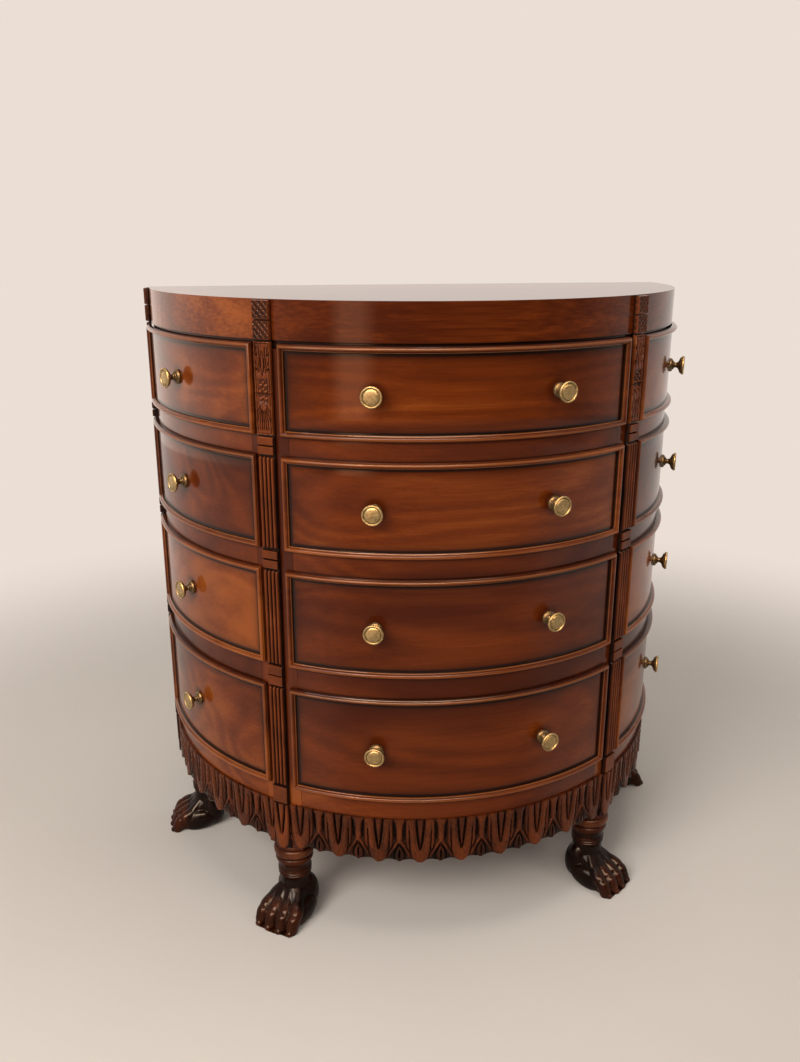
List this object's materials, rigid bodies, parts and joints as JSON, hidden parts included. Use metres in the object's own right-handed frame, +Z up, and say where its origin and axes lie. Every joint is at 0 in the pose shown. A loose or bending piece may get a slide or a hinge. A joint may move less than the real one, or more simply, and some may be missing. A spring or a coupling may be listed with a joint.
{
  "type": "half-moon chest of drawers",
  "caption": "Demilune chest with a half-round plan, bowed drawers in rows between reeded pilasters, a carved leaf apron and turned paw feet, for storing clothes against a wall.",
  "frame": {"origin": "on the floor, under the middle of the bounding box", "axes": "+Z up, the drawers' bowed front faces -Y, the flat back faces +Y, +X to the viewer's right"},
  "size_m": [0.936, 0.449, 0.988],
  "materials": {
    "panel_mahogany": "gloss lacquer over reddish brown mahogany",
    "carved_mahogany": "waxed carved mahogany, darkened in its recesses",
    "dark_mahogany": "almost black stained and polished wood",
    "carcase_wood": "plain unfinished secondary wood",
    "antique_brass": "aged brass"
  },
  "bodies": {
    "carcase": {"top_board": "panel_mahogany", "frieze": "panel_mahogany", "back_panel": "carcase_wood", "base_board": "panel_mahogany", "dust_board_1": "panel_mahogany", "dust_board_2": "panel_mahogany", "dust_board_3": "panel_mahogany", "partition_left": "carcase_wood", "partition_right": "carcase_wood", "front_pilaster_left": "carved_mahogany", "front_pilaster_right": "carved_mahogany", "back_pilaster_left": "carved_mahogany", "back_pilaster_right": "carved_mahogany", "front_foot_left": "dark_mahogany", "front_foot_right": "dark_mahogany", "back_foot_left": "dark_mahogany", "back_foot_right": "dark_mahogany", "apron_centre": "carved_mahogany", "apron_left": "carved_mahogany", "apron_right": "carved_mahogany"},
    "centre_drawer_1": {"centre_drawer_1_front": "panel_mahogany", "centre_drawer_1_box": "carcase_wood", "centre_drawer_1_knob_l": "antique_brass", "centre_drawer_1_knob_r": "antique_brass"},
    "centre_drawer_2": {"centre_drawer_2_front": "panel_mahogany", "centre_drawer_2_box": "carcase_wood", "centre_drawer_2_knob_l": "antique_brass", "centre_drawer_2_knob_r": "antique_brass"},
    "centre_drawer_3": {"centre_drawer_3_front": "panel_mahogany", "centre_drawer_3_box": "carcase_wood", "centre_drawer_3_knob_l": "antique_brass", "centre_drawer_3_knob_r": "antique_brass"},
    "centre_drawer_4": {"centre_drawer_4_front": "panel_mahogany", "centre_drawer_4_box": "carcase_wood", "centre_drawer_4_knob_l": "antique_brass", "centre_drawer_4_knob_r": "antique_brass"},
    "left_drawer_1": {"left_drawer_1_front": "panel_mahogany", "left_drawer_1_box": "carcase_wood", "left_drawer_1_knob": "antique_brass"},
    "left_drawer_2": {"left_drawer_2_front": "panel_mahogany", "left_drawer_2_box": "carcase_wood", "left_drawer_2_knob": "antique_brass"},
    "left_drawer_3": {"left_drawer_3_front": "panel_mahogany", "left_drawer_3_box": "carcase_wood", "left_drawer_3_knob": "antique_brass"},
    "left_drawer_4": {"left_drawer_4_front": "panel_mahogany", "left_drawer_4_box": "carcase_wood", "left_drawer_4_knob": "antique_brass"},
    "right_drawer_1": {"right_drawer_1_front": "panel_mahogany", "right_drawer_1_box": "carcase_wood", "right_drawer_1_knob": "antique_brass"},
    "right_drawer_2": {"right_drawer_2_front": "panel_mahogany", "right_drawer_2_box": "carcase_wood", "right_drawer_2_knob": "antique_brass"},
    "right_drawer_3": {"right_drawer_3_front": "panel_mahogany", "right_drawer_3_box": "carcase_wood", "right_drawer_3_knob": "antique_brass"},
    "right_drawer_4": {"right_drawer_4_front": "panel_mahogany", "right_drawer_4_box": "carcase_wood", "right_drawer_4_knob": "antique_brass"}
  },
  "joints": [
    {"name": "centre_drawer_1_slide", "type": "slide", "parent": "carcase", "child": "centre_drawer_1", "axis": [0, -1, 0], "range_m": [0, 0.25]},
    {"name": "centre_drawer_2_slide", "type": "slide", "parent": "carcase", "child": "centre_drawer_2", "axis": [0, -1, 0], "range_m": [0, 0.25]},
    {"name": "centre_drawer_3_slide", "type": "slide", "parent": "carcase", "child": "centre_drawer_3", "axis": [0, -1, 0], "range_m": [0, 0.25]},
    {"name": "centre_drawer_4_slide", "type": "slide", "parent": "carcase", "child": "centre_drawer_4", "axis": [0, -1, 0], "range_m": [0, 0.25]},
    {"name": "left_drawer_1_slide", "type": "slide", "parent": "carcase", "child": "left_drawer_1", "axis": [-0.8904, -0.4552, 0], "range_m": [0, 0.11]},
    {"name": "left_drawer_2_slide", "type": "slide", "parent": "carcase", "child": "left_drawer_2", "axis": [-0.8904, -0.4552, 0], "range_m": [0, 0.11]},
    {"name": "left_drawer_3_slide", "type": "slide", "parent": "carcase", "child": "left_drawer_3", "axis": [-0.8904, -0.4552, 0], "range_m": [0, 0.11]},
    {"name": "left_drawer_4_slide", "type": "slide", "parent": "carcase", "child": "left_drawer_4", "axis": [-0.8904, -0.4552, 0], "range_m": [0, 0.11]},
    {"name": "right_drawer_1_slide", "type": "slide", "parent": "carcase", "child": "right_drawer_1", "axis": [0.8904, -0.4552, 0], "range_m": [0, 0.11]},
    {"name": "right_drawer_2_slide", "type": "slide", "parent": "carcase", "child": "right_drawer_2", "axis": [0.8904, -0.4552, 0], "range_m": [0, 0.11]},
    {"name": "right_drawer_3_slide", "type": "slide", "parent": "carcase", "child": "right_drawer_3", "axis": [0.8904, -0.4552, 0], "range_m": [0, 0.11]},
    {"name": "right_drawer_4_slide", "type": "slide", "parent": "carcase", "child": "right_drawer_4", "axis": [0.8904, -0.4552, 0], "range_m": [0, 0.11]}
  ]
}
